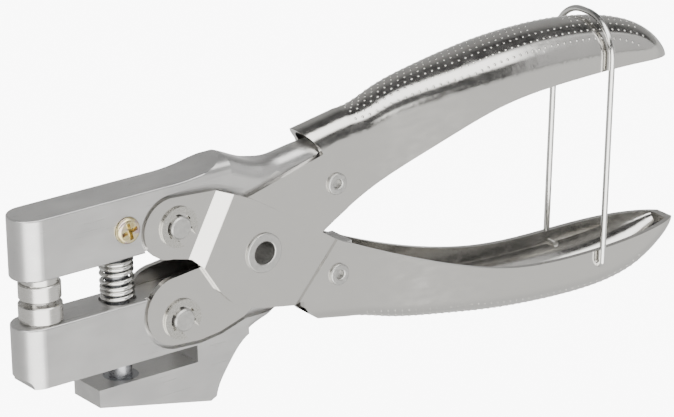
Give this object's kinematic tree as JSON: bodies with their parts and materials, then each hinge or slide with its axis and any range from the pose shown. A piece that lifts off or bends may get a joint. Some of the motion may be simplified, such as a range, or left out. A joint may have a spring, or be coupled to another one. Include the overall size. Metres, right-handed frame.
{
  "type": "hole punch",
  "caption": "Hand pliers with level jaws that punch a round hole in sheet and set eyelets in front, shown closed under a wire bail",
  "frame": {"origin": "centre of the hollow pivot rivet, in the middle of the tool's thickness", "axes": "+X from the nose back along the handles, +Y to the far side along the pivot's axis, +Z from the lower jaw to the upper jaw, square to the jaws' level faces"},
  "size_m": [0.2087, 0.026, 0.0785],
  "materials": {
    "cast_jaw": "satin nickel-plated zinc die casting with fine lengthwise grain",
    "plated_sheet": "bright nickel-plated pressed sheet steel",
    "rivet_steel": "dull zinc-plated steel rivets and sleeves",
    "pin_steel": "plated steel pins",
    "clip_steel": "plated spring steel clips",
    "tool_steel": "ground hardened tool steel",
    "die_steel": "turned plated steel",
    "zinc_screw": "yellow passivated zinc-plated steel",
    "spring_wire": "bright spring wire",
    "bail_wire": "bright plated steel wire"
  },
  "bodies": {
    "lower_jaw": {"lower_jaw": "cast_jaw", "lower_front_pin": "pin_steel", "lower_front_clip": "clip_steel", "punch_die": "tool_steel", "lower_eyelet_die": "die_steel", "return_spring": "spring_wire", "centring_spring": "spring_wire"},
    "upper_handle": {"upper_handle": "plated_sheet", "pivot_rivet": "rivet_steel", "pivot_sleeve": "rivet_steel", "upper_slide_rivet": "rivet_steel", "upper_slide_sleeve": "rivet_steel"},
    "upper_jaw": {"upper_jaw": "cast_jaw", "upper_front_pin": "pin_steel", "upper_front_clip": "clip_steel", "punch_pin": "tool_steel", "punch_lock_screw": "zinc_screw", "upper_eyelet_die": "die_steel"},
    "lower_handle": {"lower_handle": "plated_sheet", "lower_slide_rivet": "rivet_steel", "lower_slide_sleeve": "rivet_steel"},
    "wire_bail": {"wire_bail": "bail_wire"},
    "centring_pin": {"centring_pin": "tool_steel"}
  },
  "joints": [
    {"name": "handle_hinge", "type": "hinge", "parent": "lower_jaw", "child": "upper_handle", "pos_m": [-0.0244, 0, -0.0125], "axis": [0, -1, 0], "range_deg": [0, 9]},
    {"name": "jaw_slide", "type": "slide", "parent": "lower_jaw", "child": "upper_jaw", "axis": [0, 0, 1], "range_m": [0, 0.0074], "deforming": ["return_spring"]},
    {"name": "lower_handle_hinge", "type": "hinge", "parent": "upper_jaw", "child": "lower_handle", "pos_m": [-0.0244, 0, 0.0125], "axis": [0, -1, 0], "range_deg": [-9, 0]},
    {"name": "bail_hinge", "type": "hinge", "parent": "lower_handle", "child": "wire_bail", "pos_m": [0.1065, 0, -0.0286], "axis": [0, -1, 0], "range_deg": [-180, 0]},
    {"name": "centring_pin_slide", "type": "slide", "parent": "lower_jaw", "child": "centring_pin", "axis": [0, 0, -1], "range_m": [0, 0.0026], "stiffness_N_per_m": 300, "springref_m": -0.003, "deforming": ["centring_spring"]}
  ],
  "couplings": [
    {"joint": "jaw_slide", "follows": "handle_hinge", "m_per_rad": 0.047},
    {"joint": "lower_handle_hinge", "follows": "handle_hinge", "ratio": -1},
    {"joint": "bail_hinge", "follows": "handle_hinge", "ratio": -20}
  ]
}
